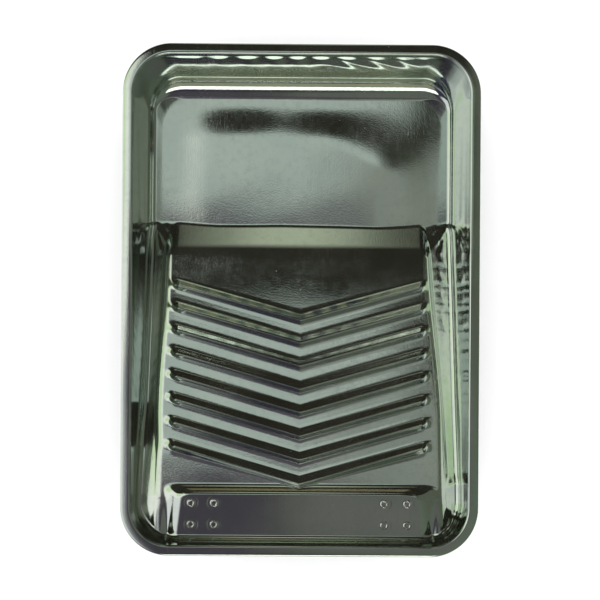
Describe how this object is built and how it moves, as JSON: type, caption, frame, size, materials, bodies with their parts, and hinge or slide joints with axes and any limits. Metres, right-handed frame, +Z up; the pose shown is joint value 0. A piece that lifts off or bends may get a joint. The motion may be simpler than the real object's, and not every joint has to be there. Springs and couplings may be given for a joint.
{
  "type": "paint roller tray",
  "caption": "Pressed steel paint roller tray: deep well, ribbed ramp with side gutters, rolled rim, and riveted legs under the shallow end that seat on a ladder rung.",
  "frame": {"origin": "on the surface that the tray stands on, under the middle of the rim", "axes": "+X across the tray, +Y along it towards the deep well, +Z up"},
  "size_m": [0.2754, 0.3938, 0.064],
  "materials": {
    "tinplate": "bright rolled tinplate, faintly grained",
    "leg_steel": "zinc-plated, satin",
    "rivet_steel": "bright plated"
  },
  "bodies": {
    "root": {"pan": "tinplate", "left_leg": "leg_steel", "right_leg": "leg_steel", "left_rivet_1": "rivet_steel", "left_rivet_2": "rivet_steel", "left_rivet_3": "rivet_steel", "left_rivet_4": "rivet_steel", "right_rivet_1": "rivet_steel", "right_rivet_2": "rivet_steel", "right_rivet_3": "rivet_steel", "right_rivet_4": "rivet_steel"}
  },
  "joints": []
}
